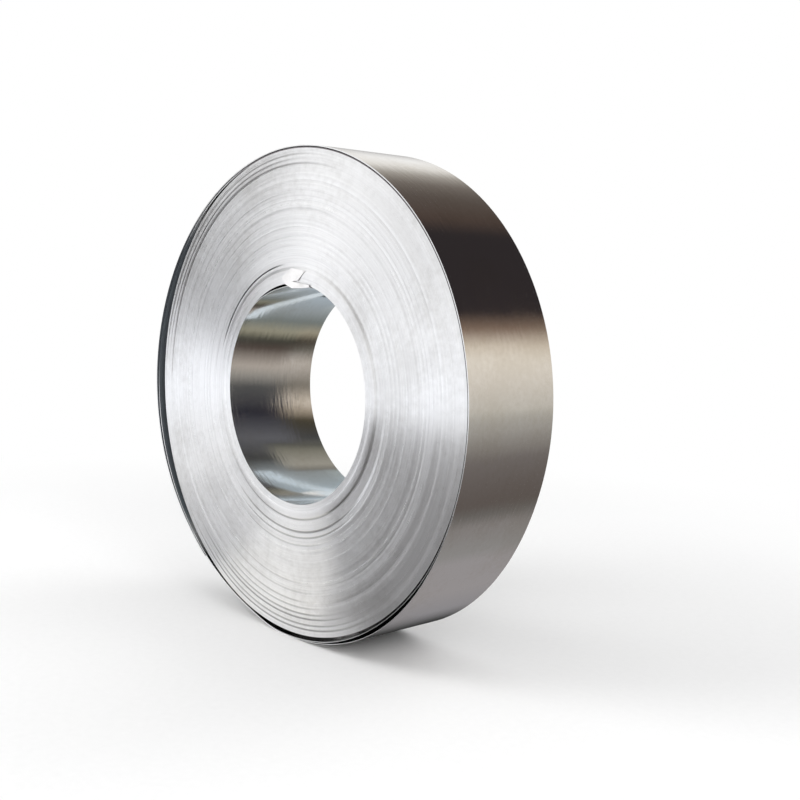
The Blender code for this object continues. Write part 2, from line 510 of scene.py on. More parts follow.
@dataclass(frozen=True)
class StripFaceFinish:
    """The strip's electro-galvanised face: smooth, near mirror-like, with rolling streaks.

    A dull, dark, non-metallic patch of painted shade lies on the loose turn's inner face at the
    left, where the gap behind it is wide. There X is far below that of the coil's axis, and the face
    looks towards +X.
    """

    zinc: Colour = (0.86, 0.86, 0.86)
    stained: Colour = (0.76, 0.74, 0.70)
    roughness: float = 0.05
    streak_roughness: float = 0.10
    stain_roughness: float = 0.10
    # gap_shade here is painted shade: a dull dark colour on the loose turn's inner face in the gap
    gap_shade: Colour = (0.11, 0.125, 0.14)
    gap_shade_roughness: float = 0.35
    gap_shade_across: Span = (-0.34, -0.46)
    gap_shade_facing: Span = (0.10, 0.30)

    def make(self, groups: CoilGroups) -> bpy.types.Material:
        """Builds the material.

        Args:
            groups: The shared node groups.

        Returns:
            The material.
        """
        material, wiring, shader = new_material("zinc_face")
        position = wiring.add("TexCoord").outputs["Object"]
        streaks = wiring.place(groups.rolling_streaks, Position=position)
        marks = wiring.place(groups.handling_marks, Position=position, Size=6.0, Amount=0.6)
        place = wiring.split(position)
        facing = wiring.split(wiring.add("TexCoord").outputs["Normal"])
        # painted shade in the gap, on the loose turn's inner face
        gap_shading = wiring.math("MULTIPLY", wiring.ease(place.outputs["X"], *self.gap_shade_across),
                           wiring.ease(facing.outputs["X"], *self.gap_shade_facing))
        colour = wiring.blend(marks.outputs["Mask"], self.zinc, self.stained)
        wiring.feed(shader.inputs["Base Color"], wiring.blend(gap_shading, colour, self.gap_shade))
        rough = wiring.math("MULTIPLY_ADD", streaks.outputs["Tone"], self.streak_roughness,
                            self.roughness)
        rough = wiring.math("MULTIPLY_ADD", marks.outputs["Mask"], self.stain_roughness, rough)
        rough = wiring.math("MULTIPLY_ADD", gap_shading, self.gap_shade_roughness, rough)
        wiring.feed(shader.inputs["Roughness"], rough)
        wiring.feed(shader.inputs["Metallic"], wiring.math("SUBTRACT", 1.0, gap_shading))
        wiring.emboss(shader, streaks.outputs["Height"], strength=0.45, distance=0.0004)
        return material


@dataclass(frozen=True)
class TapeFinish:
    """White cloth tape, a little grubby, with the turns beneath telling through."""

    white: Colour = (0.91, 0.90, 0.905)
    grubby: Colour = (0.74, 0.73, 0.73)
    roughness: float = 0.55
    grubby_roughness: float = 0.15
    turn_pitch: float = 0.0036

    def make(self, groups: CoilGroups) -> bpy.types.Material:
        """Builds the material.

        Args:
            groups: The shared node groups.

        Returns:
            The material.
        """
        material, wiring, shader = new_material("white_tape")
        position = wiring.add("TexCoord").outputs["Object"]
        lines = wiring.place(groups.turn_lines, Position=position, Pitch=self.turn_pitch)
        marks = wiring.place(groups.handling_marks, Position=position, Size=30.0, Amount=0.8)
        colour = wiring.blend(marks.outputs["Mask"], self.white, self.grubby)
        wiring.feed(shader.inputs["Base Color"], colour)
        rough = wiring.math("MULTIPLY_ADD", marks.outputs["Mask"], self.grubby_roughness,
                            self.roughness)
        wiring.feed(shader.inputs["Roughness"], rough)
        wiring.emboss(shader, lines.outputs["Height"], strength=0.3, distance=0.0005)
        return material


def rise(share: np.ndarray | float) -> np.ndarray | float:
    """A smooth step from 0 to 1, level at both ends, for a share of the way along it."""
    share = np.clip(share, 0.0, 1.0)
    return share * share * (3.0 - 2.0 * share)


@dataclass(frozen=True)
class Groove:
    """Turns that lie back from their neighbours over part of their way round one end.

    A sloped groove is a shallow V between two laps, and any other has upright sides.
    """

    radius: float
    depth: float
    from_deg: float
    to_deg: float
    sloped: bool = False


@dataclass(frozen=True)
class StripEdge:
    """The numbers of the vertices along one edge of the strip.

    The leaf pairs are those of the slit that splits the loose turn into two leaves.
    """

    inner: np.ndarray
    outer: np.ndarray
    leaf: dict[int, tuple[int, int]]


class StripMesh:
    """Gathers the vertices and faces of the strip."""

    sharp_deg: float = 25.0
    texture_reach: float = 0.6

    def __init__(self) -> None:
        """Starts an empty mesh."""
        self.vertices: list[tuple[float, float, float]] = []
        # painted shade of the grooves, a share from 0 to 1 at each vertex
        self.groove_shade: list[float] = []
        self.faces: list[tuple[int, ...]] = []
        self.sides: list[int] = []

    def point(self, radius: float, angle: float, height: float, groove_shade: float = 0.0) -> int:
        """Adds a vertex.

        Args:
            radius: How far it lies from the coil's axis.
            angle: Its angle round the axis, in radians.
            height: Its place along the axis.
            groove_shade: How much painted shade lies there, from 0 to 1.

        Returns:
            Its number.
        """
        self.vertices.append((radius * math.cos(angle), height, radius * math.sin(angle)))
        self.groove_shade.append(groove_shade)
        return len(self.vertices) - 1

    def face(self, corners: list[int], side: Side, flip: bool = False) -> None:
        """Adds a face, without the corners that it has twice.

        Args:
            corners: The numbers of its vertices.
            side: Which kind of surface it is.
            flip: Whether it is turned over.
        """
        ring = list(dict.fromkeys(int(corner) for corner in corners))
        if len(ring) > 2:
            self.faces.append(tuple(ring[::-1] if flip else ring))
            self.sides.append(side.value)

    def finish(self, name: str) -> bpy.types.Object:
        """Makes the object.

        Args:
            name: Its name.

        Returns:
            The object.
        """
        mesh = bpy.data.meshes.new(name)
        mesh.from_pydata(self.vertices, [], self.faces)
        mesh.polygons.foreach_set("material_index", self.sides)
        # the grooves' painted shade, stored on the vertices for the edges' material
        mesh.attributes.new("groove_shade", "FLOAT", "POINT").data.foreach_set("value", self.groove_shade)
        mesh.validate()
        mesh.shade_smooth()
        mesh.set_sharp_from_angle(angle=math.radians(self.sharp_deg))
        mesh.use_auto_texspace = False
        mesh.texspace_location = (0.0, 0.0, 0.0)
        mesh.texspace_size = (self.texture_reach,) * 3
        made = bpy.data.objects.new(name, mesh)
        bpy.context.scene.collection.objects.link(made)
        return made


@dataclass
class WoundCoil:
    """The coil: one strip wound from its inner end in the bore to its tail.

    Its shape is worked out at samples along the strip, lap_samples to a turn, numbered from the tip
    of the dropped inner end. Sample number head is the root of that end, and at number parted the
    last tight turn ends and the loose one starts.
    """

    axis: Vector = Vector((0.017071, 0.0, 0.568758))
    bore_radius: float = 0.254
    pack_radius: float = 0.5585
    half_width: float = 0.1275
    thickness: float = 0.0012
    loose_set_back: float = 0.0010
    lap_samples: int = 216
    laps: int = 86
    root_deg: float = 132.5
    root_ramp: float = 0.15
    head_deg: float = 55.0
    head_lowest: float = 0.545
    head_drop: float = 0.0055
    head_tip_drop: float = 0.0018
    head_set_back: float = 0.0040
    parting_deg: float = 107.5
    parting_ramp_deg: float = 15.0
    tail_deg: float = 592.5
    turn_gap: float = 0.0012
    side_bulge_deg: tuple[float, float, float] = (107.5, 190.0, 250.0)
    side_bulge_lift: float = 0.0240
    lower_bulge_deg: tuple[float, float, float] = (272.5, 297.5, 345.0)
    lower_bulge_lift: float = 0.0050
    sag_deg: tuple[float, float] = (252.5, 267.5)
    tail_bulge_deg: tuple[float, float, float] = (467.5, 547.5, 592.5)
    tail_bulge_lift: float = 0.0060
    front_rings: tuple[tuple[float, float], ...] = (
        (0.050, 0.0026), (0.111, 0.0008), (0.207, 0.0034), (0.257, 0.0016), (0.400, 0.0008),
        (0.540, 0.0012), (0.656, 0.0017), (0.760, 0.0012), (0.866, 0.0016), (0.910, 0.0023),
        (0.967, 0.0016), (1.000, 0.0024),
    )
    back_rings: tuple[tuple[float, float], ...] = (
        (0.060, 0.0014), (0.130, 0.0036), (0.210, 0.0020), (0.330, 0.0008), (0.450, 0.0018),
        (0.580, 0.0000), (0.700, 0.0012), (0.790, 0.0028), (0.880, 0.0010), (0.930, 0.0038),
        (1.000, 0.0022),
    )
    ring_slope: float = 0.030
    outer_ring_slope: float = 0.08
    grooves: tuple[Groove, ...] = (
        Groove(0.520, 0.0024, 82.0, 190.0),
        Groove(0.5325, 0.0012, 85.0, 180.0),
        Groove(0.548, 0.0014, 85.0, 185.0),
        Groove(0.522, 0.0012, 70.0, 178.0, True),
        Groove(0.535, 0.0008, 80.0, 170.0, True),
        Groove(0.545, 0.0009, 75.0, 175.0, True),
        Groove(0.300, 0.0030, 92.0, 165.0),
        Groove(0.403, 0.0010, 60.0, 140.0),
        Groove(0.288, 0.0010, 215.0, 335.0, True),
        Groove(0.317, 0.0012, 220.0, 330.0, True),
        Groove(0.332, 0.0009, 228.0, 318.0, True),
        Groove(0.347, 0.0006, 232.0, 300.0, True),
        Groove(0.362, 0.0003, 75.0, 150.0, True),
        Groove(0.383, 0.0003, 78.0, 165.0, True),
        Groove(0.423, 0.0003, 66.0, 128.0, True),
        Groove(0.435, 0.0005, 236.0, 282.0, True),
        Groove(0.458, 0.0005, 230.0, 290.0, True),
        Groove(0.461, 0.0003, 84.0, 158.0, True),
        Groove(0.478, 0.0007, 238.0, 284.0, True),
        Groove(0.492, 0.0008, 230.0, 290.0, True),
        Groove(0.506, 0.0010, 225.0, 296.0, True),
        Groove(0.518, 0.0012, 220.0, 300.0, True),
        Groove(0.530, 0.0010, 222.0, 304.0, True),
        Groove(0.543, 0.0012, 215.0, 308.0, True),
    )
    groove_fade: float = 0.28
    # the groove depth at which a groove's painted shade is full
    groove_shade_depth: float = 0.0012
    least_lie_back: float = 0.00002
    added_lie_back: float = 0.0003
    edge_strays: tuple[Span, ...] = ((1.0, 0.00011), (3.3, 0.00022))
    wave_stray: Span = (5.0, 0.00014)
    phase_stray: Span = (4.0, 3.0)
    lip: float = 0.00014
    lip_stray: Span = (1.0, 0.00010)
    stray_values: int = 130
    settle_samples: float = 30.0
    leaf_deg: tuple[float, float, float] = (265.0, 312.5, 355.0)
    leaf_share: float = 0.80
    leaf_thickness: float = 0.0012
    loose_hollow: float = 0.0011

    def __post_init__(self) -> None:
        """Works out where each sample of the strip lies."""
        self.head = round(self.head_deg * self.lap_samples / 360.0)
        self.parted = self.head + round(
            ((self.parting_deg - self.root_deg) / 360.0 + self.laps) * self.lap_samples)
        loose = round((self.tail_deg - self.parting_deg) * self.lap_samples / 360.0)
        self.count = self.parted + loose + 1
        self.turn = (np.arange(self.count) - self.head) / self.lap_samples
        self.degrees = self.root_deg + 360.0 * self.turn
        wound = (self.parted - self.head) / self.lap_samples
        self.lap = (self.pack_radius - self.bore_radius - self.thickness) / wound
        self.leaf_gap = np.zeros(self.count)
        self.inner = self._inner_radii()
        self.outer = self._outer_radii()
        past = self.degrees - self.degrees[self.parted]
        self.inner += self.loose_hollow * rise(past / self.parting_ramp_deg)

    def _inner_radii(self) -> np.ndarray:
        """Inner radius of the strip at each sample.

        Returns:
            The radii.
        """
        first = self.thickness * rise((self.turn - 1.0 + self.root_ramp) / self.root_ramp)
        radii = self.bore_radius + first + self.lap * np.maximum(self.turn - 1.0, 0.0)
        hanging = np.arange(self.head)
        share = 1.0 - hanging / self.head
        drop = self.head_drop * rise(share / self.head_lowest)
        drop -= (self.head_drop - self.head_tip_drop) * rise(
            (share - self.head_lowest) / (1.0 - self.head_lowest))
        radii[hanging] = radii[hanging + self.lap_samples] - drop - self.thickness
        sag = self._sag_lift()
        for index in range(self.parted, self.count):
            angle = self.parting_deg + (index - self.parted) * 360.0 / self.lap_samples
            beneath = radii[index - self.lap_samples] + self.lap
            beneath += self.leaf_gap[index - self.lap_samples]
            if index - self.lap_samples < self.parted:
                gap = self.turn_gap * rise((angle - self.parting_deg) / self.parting_ramp_deg)
                gap += self.side_bulge_lift * self._bulge(angle, self.side_bulge_deg)
                gap += self.lower_bulge_lift * self._bulge(angle, self.lower_bulge_deg)
                gap += sag * self._sag(angle)
                open_share = self.leaf_share * self._bulge(angle, self.leaf_deg)
                self.leaf_gap[index] = open_share * (gap - self.turn_gap)
            else:
                gap = self.turn_gap
                gap += self.tail_bulge_lift * self._bulge(angle, self.tail_bulge_deg)
            radii[index] = beneath + gap - self.leaf_gap[index]
        return radii

    def _outer_radii(self) -> np.ndarray:
        """Outer radius of the strip at each sample.

        Returns:
            The radii.
        """
        radii = self.inner + self.lap + self.leaf_gap
        radii[:self.head] = self.inner[:self.head] + self.thickness
        inmost = slice(self.head, self.head + self.lap_samples)
        radii[inmost] = self.bore_radius + self.thickness + self.lap * self.turn[inmost]
        return radii

    def _sag_lift(self) -> float:
        """The lift of the sag that brings the loose turn down to the floor.

        Returns:
            The lift.
        """
        bottom = (self.degrees[self.parted] - 360.0 - self.parting_deg + 270.0
                  - self.root_deg) / 360.0
        surface = self.bore_radius + self.thickness + self.lap * bottom
        return self.axis.z - surface - self.turn_gap - self.lap

    def _sag(self, angle: float) -> float:
        """The sag of height 1 where the loose turn rests on the floor.

        Args:
            angle: Where it is read, in degrees.

        Returns:
            Its height.
        """
        first, last = self.sag_deg
        _, fall_first, fall_last = self.lower_bulge_deg
        up = rise((angle - first) / (last - first))
        return float(up * rise((fall_last - angle) / (fall_last - fall_first)))

    @staticmethod
    def _bulge(angle: float, span: tuple[float, float, float]) -> float:
        """A bulge of height 1 over a span of angles.

        Args:
            angle: Where it is read, in degrees.
            span: Its first, highest and last angle.

        Returns:
            Its height.
        """
        first, highest, last = span
        return float(rise((angle - first) / (highest - first))
                     * rise((last - angle) / (last - highest)))

    def _groove_depth(self, groove: Groove, turn: np.ndarray) -> np.ndarray:
        """How far one groove sets the strip's edge back.

        Args:
            groove: The groove.
            turn: Where it is read, in turns from the strip's root.

        Returns:
            The depths.
        """
        middle = (groove.radius - self.bore_radius - self.thickness) / self.lap
        first = middle - 0.5 + ((groove.from_deg - self.root_deg) / 360.0 - middle + 0.5) % 1.0
        last = first + (groove.to_deg - groove.from_deg) / 360.0
        fade = self.groove_fade * (last - first)
        return groove.depth * rise((turn - first) / fade) * rise((last - turn) / fade)

    def _groove_shade(self, end: End, outer: float) -> np.ndarray:
        """How much painted shade lies in the sloped grooves at each sample.

        Args:
            end: Which end of the coil.
            outer: 0 for the strip's inner face, 1 for its outer face.

        Returns:
            0 where the edge has no painted shade, to 1.
        """
        groove_shade = np.zeros(self.count)
        for groove in self.grooves if end is End.FRONT else ():
            if groove.sloped:
                depth = self._groove_depth(groove, self.turn - 1.0 + outer)
                groove_shade = np.maximum(groove_shade, depth / self.groove_shade_depth)
        return np.minimum(groove_shade, 1.0)

    def _wander(self, draw: np.random.Generator, turn: np.ndarray, laps: float,
                size: float) -> np.ndarray:
        """A smooth random value along the strip.

        Args:
            draw: The random numbers.
            turn: Where it is read, in turns.
            laps: How many turns lie between its random values.
            size: How far it strays either way.

        Returns:
            Its value at each place.
        """
        values = draw.uniform(-size, size, self.stray_values)
        whole = np.floor(turn / laps).astype(int) + 2
        share = rise(turn / laps + 2 - whole)
        return values[whole] * (1.0 - share) + values[whole + 1] * share

    def _lie_back(self, end: End, turn: np.ndarray) -> np.ndarray:
        """How far the strip's edge lies back from the coil's end.

        Args:
            end: Which end of the coil.
            turn: Where it is read, in turns from the strip's root.

        Returns:
            The depths.
        """
        rings = self.front_rings if end is End.FRONT else self.back_rings
        draw = np.random.default_rng(21 if end is End.FRONT else 58)
        share = (self.thickness + self.lap * (turn - 1.0)) / (self.pack_radius - self.bore_radius)
        depth = np.full(turn.shape, rings[0][1] + self.added_lie_back)
        for (edge, back), (_, further) in zip(rings, rings[1:]):
            slope = self.ring_slope if edge < 0.3 else self.outer_ring_slope
            depth += (further - back) * rise((share - edge) / slope + 0.5)
        for stray in self.edge_strays:
            depth += self._wander(draw, turn, *stray)
        angle = math.tau * turn
        for waves in (1, 2, 3):
            phase = angle * waves + self._wander(draw, turn, *self.phase_stray)
            depth += self._wander(draw, turn, *self.wave_stray) * np.sin(phase)
        return np.maximum(depth, self.least_lie_back)

    def _heights(self, end: End) -> tuple[np.ndarray, np.ndarray]:
        """Y of the strip's edge at each sample, on its inner and its outer face.

        Args:
            end: Which end of the coil.

        Returns:
            The heights on the inner face and on the outer face.
        """
        draw = np.random.default_rng(5 if end is End.FRONT else 6)
        lip = self.lip + self._wander(draw, self.turn, *self.lip_stray)
        sides = []
        for outer in (0.0, 1.0):
            depth = self._lie_back(end, self.turn + outer) + outer * lip
            for groove in self.grooves if end is End.FRONT else ():
                inward = 1.0 - outer if groove.sloped else 0.0
                depth += self._groove_depth(groove, self.turn - inward)
            self._settle(depth)
            sides.append(end.value * (self.half_width - depth))
        return sides[0], sides[1]

    def _settle(self, depth: np.ndarray) -> None:
        """Leads the depths over the strip's root and over the place where the turns part.

        Args:
            depth: The depths at each sample, which are changed.
        """
        index = np.arange(self.count)
        share = 1.0 - index[:self.head] / self.head
        depth[:self.head] = depth[self.head] + (self.head_set_back - depth[self.head]) * rise(
            2.0 * share)
        loose = index >= self.parted
        depth[loose] = self.loose_set_back
        before = self.parted - self.lap_samples
        near = rise(1.0 - np.abs(index - before) / self.settle_samples)
        last = rise((index - self.parted + self.settle_samples) / self.settle_samples)
        near = np.where(loose, 0.0, np.maximum(near, last))
        depth += (self.loose_set_back - depth) * near

    def build(self) -> bpy.types.Object:
        """Builds the coil's mesh.

        Returns:
            The coil's object, placed on its axis.
        """
        strip = StripMesh()
        edges = {end: self._edge(strip, end) for end in End}
        for end, edge in edges.items():
            self._close_end(strip, edge, end is End.BACK)
        self._close_faces(strip, edges[End.FRONT], edges[End.BACK])
        coil = strip.finish("wound_coil")
        coil.location = self.axis
        return coil

    def _edge(self, strip: StripMesh, end: End) -> StripEdge:
        """Adds the vertices of the strip's edge at one end of the coil.

        Args:
            strip: The mesh they are added to.
            end: Which end of the coil.

        Returns:
            Their numbers.
        """
        angles = np.radians(self.degrees)
        low_height, high_height = self._heights(end)
        # painted shade of the grooves on the strip's inner and outer face
        low_groove_shade = self._groove_shade(end, 0.0)
        high_groove_shade = self._groove_shade(end, 1.0)
        inner = np.zeros(self.count, dtype=int)
        outer = np.zeros(self.count, dtype=int)
        leaf: dict[int, tuple[int, int]] = {}
        for i in range(self.count):
            if i in (self.head + self.lap_samples, self.parted):
                inner[i] = outer[i - self.lap_samples]
            else:
                inner[i] = strip.point(self.inner[i], angles[i], low_height[i], low_groove_shade[i])
            outer[i] = strip.point(self.outer[i], angles[i], high_height[i], high_groove_shade[i])
            if self.leaf_gap[i] > 0.0:
                radius = self.inner[i] + self.leaf_thickness
                low = strip.point(radius, angles[i], low_height[i])
                high = strip.point(radius + self.leaf_gap[i], angles[i], high_height[i])
                leaf[i] = (low, high)
        for i in (min(leaf) - 1, max(leaf) + 1):
            shared = strip.point(self.inner[i] + self.leaf_thickness, angles[i],
                                 end.value * (self.half_width - self.loose_set_back))
            leaf[i] = (shared, shared)
        return StripEdge(inner, outer, leaf)

    def _close_end(self, strip: StripMesh, edge: StripEdge, flip: bool) -> None:
        """Adds the faces of one end: the strip's own edge, then the joint between tight turns.

        Args:
            strip: The mesh they are added to.
            edge: The numbers of the end's vertices.
            flip: Whether the faces are turned over.
        """
        low = edge.inner
        high = edge.outer
        for i in range(self.count - 1):
            here = edge.leaf.get(i)
            there = edge.leaf.get(i + 1)
            if here and there:
                strip.face([low[i], here[0], there[0], low[i + 1]], Side.SLIT_EDGE, flip)
                strip.face([here[1], high[i], high[i + 1], there[1]], Side.SLIT_EDGE, flip)
            else:
                near = here[:1] if here else ()
                far = there[:1] if there else ()
                strip.face([low[i], *near, high[i], high[i + 1], *far, low[i + 1]],
                           Side.SLIT_EDGE, flip)
        for i in range(self.head + self.lap_samples, self.parted):
            j = i - self.lap_samples
            strip.face([high[j], low[i], low[i + 1], high[j + 1]], Side.SLIT_EDGE, flip)

    def _close_faces(self, strip: StripMesh, front: StripEdge, back: StripEdge) -> None:
        """Adds the strip's bare faces, those of its two leaves, and its two cut ends.

        Args:
            strip: The mesh they are added to.
            front: The numbers of the vertices at the front end.
            back: The numbers of the vertices at the back end.
        """
        last = self.count - 1
        for i in (*range(self.head + self.lap_samples), *range(self.parted, last)):
            strip.face([front.inner[i], front.inner[i + 1], back.inner[i + 1], back.inner[i]],
                       Side.ZINC_FACE)
        for i in (*range(self.head), *range(self.parted - self.lap_samples, last)):
            strip.face([front.outer[i], back.outer[i], back.outer[i + 1], front.outer[i + 1]],
                       Side.ZINC_FACE)
        for i in sorted(front.leaf)[:-1]:
            near = (front.leaf[i], front.leaf[i + 1])
            far = (back.leaf[i], back.leaf[i + 1])
            strip.face([near[0][0], far[0][0], far[1][0], near[1][0]], Side.ZINC_FACE)
            strip.face([near[0][1], near[1][1], far[1][1], far[0][1]], Side.ZINC_FACE)
        for i, flip in ((0, False), (last, True)):
            strip.face([front.inner[i], back.inner[i], back.outer[i], front.outer[i]],
                       Side.SLIT_EDGE, flip)

    def dress(self, coil: bpy.types.Object, groups: CoilGroups) -> None:
        """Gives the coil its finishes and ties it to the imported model.

        Args:
            coil: The coil's object.
            groups: The shared node groups.
        """
        coil.data.materials.append(StripEdgeFinish().make(groups))
        coil.data.materials.append(StripFaceFinish().make(groups))
        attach(coil, "root")
        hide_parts("wound_strip")


@dataclass(frozen=True)
class TapePatch:
    """The torn patch of tape on the innermost turns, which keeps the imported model's shape."""

    node: str = "tape_patch"
    finish: TapeFinish = TapeFinish()

    def dress(self, groups: CoilGroups) -> bpy.types.Object:
        """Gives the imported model's tape its finish.

        Args:
            groups: The shared node groups.

        Returns:
            The tape's object.
        """
        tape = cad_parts[self.node]
        tape.data.materials.clear()
        tape.data.materials.append(self.finish.make(groups))
        return tape


@dataclass(frozen=True)
class Sheet:
    """A run of glowing board in the studio, which only reflections show.

    Each row is a line across the board, with the colour that it has there.
    """

    name: str
    rows: tuple[Row, ...]

    @classmethod
    def bent(cls, name: str, stops: tuple[tuple[float, Colour], ...], radius: float,
             reach: tuple[float, float], centre: tuple[float, float],
             turn_deg: tuple[float, float] = (0.0, 0.0)) -> "Sheet":
        """A sheet bent round a line along Y, coloured by the angle round it.

        Args:
            name: Its name.
            stops: Angles in degrees from +X, rising, with the colour at each.
            radius: Its radius.
            reach: Its first and last Y.
            centre: X and Z of the line.
            turn_deg: How far it is turned on at its first Y and at its last.

        Returns:
            The sheet.
        """
        angles = [degrees for degrees, _ in stops]
        step_deg = 4.0
        rows = []
        for angle in np.union1d(angles, np.arange(angles[0], angles[-1], step_deg)):
            colour = tuple(float(np.interp(angle, angles, [c[k] for _, c in stops]))
                           for k in range(3))
            ends = []
            for along, turned in zip(reach, turn_deg):
                turn = math.radians(angle + turned)
                ends.append((centre[0] + radius * math.cos(turn), along,
                             centre[1] + radius * math.sin(turn)))
            rows.append((ends[0], ends[1], colour))
        return cls(name, tuple(rows))

    @classmethod
    def streak(cls, name: str, start: tuple[float, float], end: tuple[float, float], width: float,
               radius: float, centre: tuple[float, float], colour: Colour) -> "Sheet":
        """A narrow sheet of one colour that winds round a line along Y.

        Args:
            name: Its name.
            start: Angle in degrees from +X, and Y, of the middle of its first end.
            end: The same of its last end.
            width: Its width along Y.
            radius: Its radius.
            centre: X and Z of the line.
            colour: Its colour.

        Returns:
            The sheet.
        """
        rows = []
        row_count = 21
        for share in np.linspace(0.0, 1.0, row_count):
            turn = math.radians(start[0] + share * (end[0] - start[0]))
            along = start[1] + float(share) * (end[1] - start[1])
            across = centre[0] + radius * math.cos(turn)
            height = centre[1] + radius * math.sin(turn)
            near = (across, along - width / 2, height)
            far = (across, along + width / 2, height)
            rows.append((near, far, colour))
        return cls(name, tuple(rows))

    @classmethod
    def flat(cls, name: str, stops: tuple[tuple[float, Colour], ...], near: float, far: float,
             height: float) -> "Sheet":
        """A level sheet from Y near to Y far, coloured by X, with rising stops along X."""
        return cls(name, tuple(((across, near, height), (across, far, height), colour)
                               for across, colour in stops))

    @classmethod
    def board(cls, name: str, near_edge: tuple[tuple[float, float], tuple[float, float]],
              far_edge: tuple[tuple[float, float], tuple[float, float]], height: float,
              colour: Colour) -> "Sheet":
        """A level sheet of one colour with four corners.

        Args:
            name: Its name.
            near_edge: X and Y of the two corners of one edge.
            far_edge: X and Y of the two corners of the opposite edge, in the same order.
            height: Its height.
            colour: Its colour.

        Returns:
            The sheet.
        """
        rows = tuple(((*start, height), (*end, height), colour)
                     for start, end in zip(near_edge, far_edge))
        return cls(name, rows)

    @classmethod
    def screen(cls, name: str, from_deg: float, to_deg: float, distance: float, low: float,
               high: float, colour: Colour) -> "Sheet":
        """An upright sheet bent round the coil, of one colour.

        Args:
            name: Its name.
            from_deg: Its first compass angle, in degrees from +X towards +Y.
            to_deg: Its last compass angle.
            distance: How far it stands off.
            low: Its lower edge's height.
            high: Its upper edge's height.
            colour: Its colour.

        Returns:
            The sheet.
        """
        rows = []
        row_count = 9
        for angle in np.radians(np.linspace(from_deg, to_deg, row_count)):
            across = float(distance * math.cos(angle))
            along = float(distance * math.sin(angle))
            rows.append(((across, along, low), (across, along, high), colour))
        return cls(name, tuple(rows))

    def hang(self) -> None:
        """Makes the sheet's object, as stage."""
        vertices = [point for start, end, _ in self.rows for point in (start, end)]
        faces = [(2 * k, 2 * k + 1, 2 * k + 3, 2 * k + 2) for k in range(len(self.rows) - 1)]
        mesh = bpy.data.meshes.new(self.name)
        mesh.from_pydata(vertices, [], faces)
        tones = mesh.color_attributes.new("tone", "FLOAT_COLOR", "POINT")
        for k, (_, _, colour) in enumerate(self.rows):
            for corner in (2 * k, 2 * k + 1):
                tones.data[corner].color = (*colour, 1.0)
        mesh.materials.append(self._finish())
        sheet = bpy.data.objects.new(self.name, mesh)
        sheet.visible_camera = False
        sheet.visible_diffuse = False
        sheet.visible_shadow = False
        sheet.visible_transmission = False
        bpy.context.scene.collection.objects.link(sheet)

    @staticmethod
    def _finish() -> bpy.types.Material:
        """The board's material, which glows in the colours of its rows and which all sheets share.

        Returns:
            The material.
        """
        name = "reflected_board"
        if name in bpy.data.materials:
            return bpy.data.materials[name]
        material = bpy.data.materials.new(name)
        material.use_nodes = True
        material.node_tree.nodes.clear()
        wiring = Wiring(material.node_tree)
        tone = wiring.add("VertexColor", layer_name="tone")
        glow = wiring.add("Emission")
        wiring.feed(glow.inputs["Color"], tone.outputs["Color"])
        out = wiring.add("OutputMaterial")
        wiring.feed(out.inputs["Surface"], glow.outputs[0])
        return material


@dataclass(frozen=True)
class Lamp:
    """A round soft lamp that points at the coil."""

    name: str
    place: Place
    power: float
    size: float = 3.0
    aim: Place = (0.0, 0.0, 0.5)

    def hang(self) -> None:
        """Makes the lamp's object, which metal doesn't mirror."""
        light = bpy.data.lights.new(self.name, "AREA")
        light.shape = "DISK"
        light.size = self.size
        light.energy = self.power
        lamp = bpy.data.objects.new(self.name, light)
        lamp.location = self.place
        turn = (Vector(self.aim) - Vector(self.place)).to_track_quat("-Z", "Y")
        lamp.rotation_euler = turn.to_euler()
        lamp.visible_glossy = False
        bpy.context.scene.collection.objects.link(lamp)


